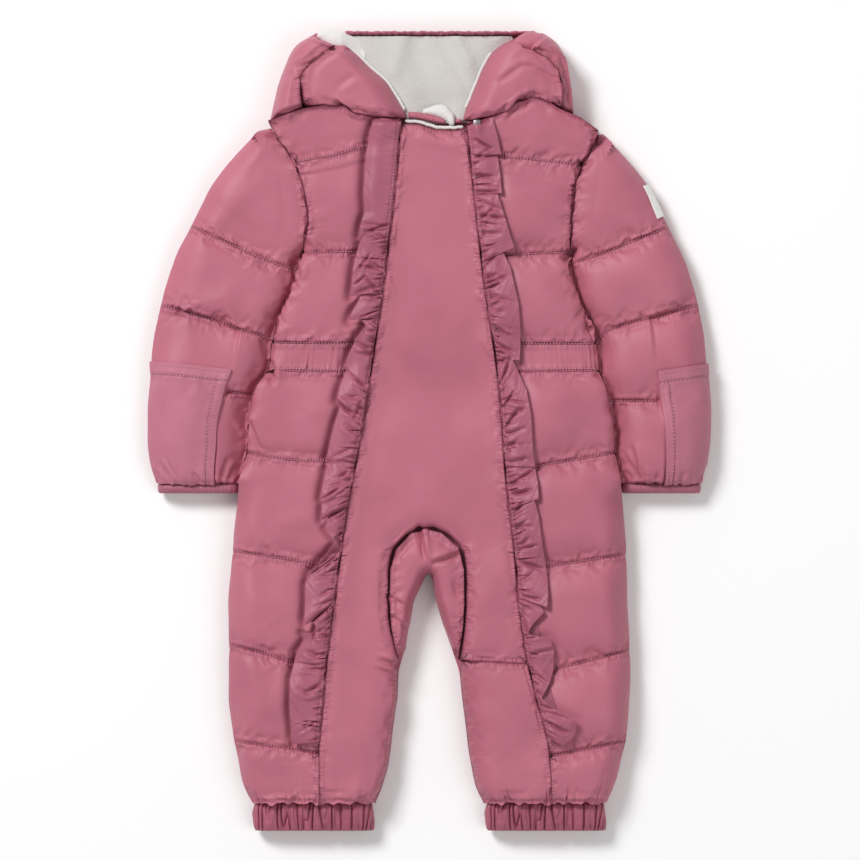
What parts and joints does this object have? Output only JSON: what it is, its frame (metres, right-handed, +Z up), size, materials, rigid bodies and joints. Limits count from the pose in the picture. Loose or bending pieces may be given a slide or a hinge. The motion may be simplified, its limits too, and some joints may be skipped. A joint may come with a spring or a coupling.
{
  "type": "baby snowsuit",
  "caption": "Padded one-piece baby snowsuit laid flat, with quilted sides, ruffled front seams, fold-over mitts and an open fleece-lined hood.",
  "frame": {"origin": "on the surface that the suit lies on, at the centre of its bounding box's bottom", "axes": "+Y towards the hood, +Z up out of the suit's front, +X towards the wearer's left"},
  "size_m": [0.5099, 0.7196, 0.0494],
  "materials": {
    "shell_nylon": "padded dusty-rose nylon, satin sheen",
    "ruffle_nylon": "thin unpadded dusty-rose nylon",
    "binding_nylon": "dusty-rose nylon, slightly greyer",
    "fleece": "off-white fleece pile",
    "zip_metal": "small zip slider",
    "badge": "bare white woven tab"
  },
  "bodies": {
    "root": {"front_centre": "shell_nylon", "shin_left": "shell_nylon", "crotch_gusset": "shell_nylon", "front_upper_right": "shell_nylon", "front_upper_left": "shell_nylon", "front_waist_right": "shell_nylon", "front_waist_left": "shell_nylon", "front_lower_right": "shell_nylon", "front_lower_left": "shell_nylon", "sleeve_front_right": "shell_nylon", "sleeve_front_left": "shell_nylon", "sleeve_back_right": "shell_nylon", "sleeve_back_left": "shell_nylon", "mitt_right": "binding_nylon", "mitt_left": "binding_nylon", "wrist_binding_right": "binding_nylon", "wrist_binding_left": "binding_nylon", "ankle_cuff_right": "shell_nylon", "ankle_cuff_left": "shell_nylon", "back_upper": "shell_nylon", "back_waist": "shell_nylon", "back_leg_right": "shell_nylon", "back_leg_left": "shell_nylon", "hood_crown": "shell_nylon", "hood_margin_right": "shell_nylon", "hood_margin_left": "shell_nylon", "hood_side_right": "shell_nylon", "hood_side_left": "shell_nylon", "hood_edge": "shell_nylon", "neck_band_right": "shell_nylon", "neck_band_left": "shell_nylon", "ruffle_right": "ruffle_nylon", "ruffle_left": "ruffle_nylon", "hood_lining": "fleece", "nape_lining": "fleece", "neck_fleece": "fleece", "zip_tape": "binding_nylon", "zip_slider": "zip_metal", "sleeve_badge": "badge"}
  },
  "joints": []
}
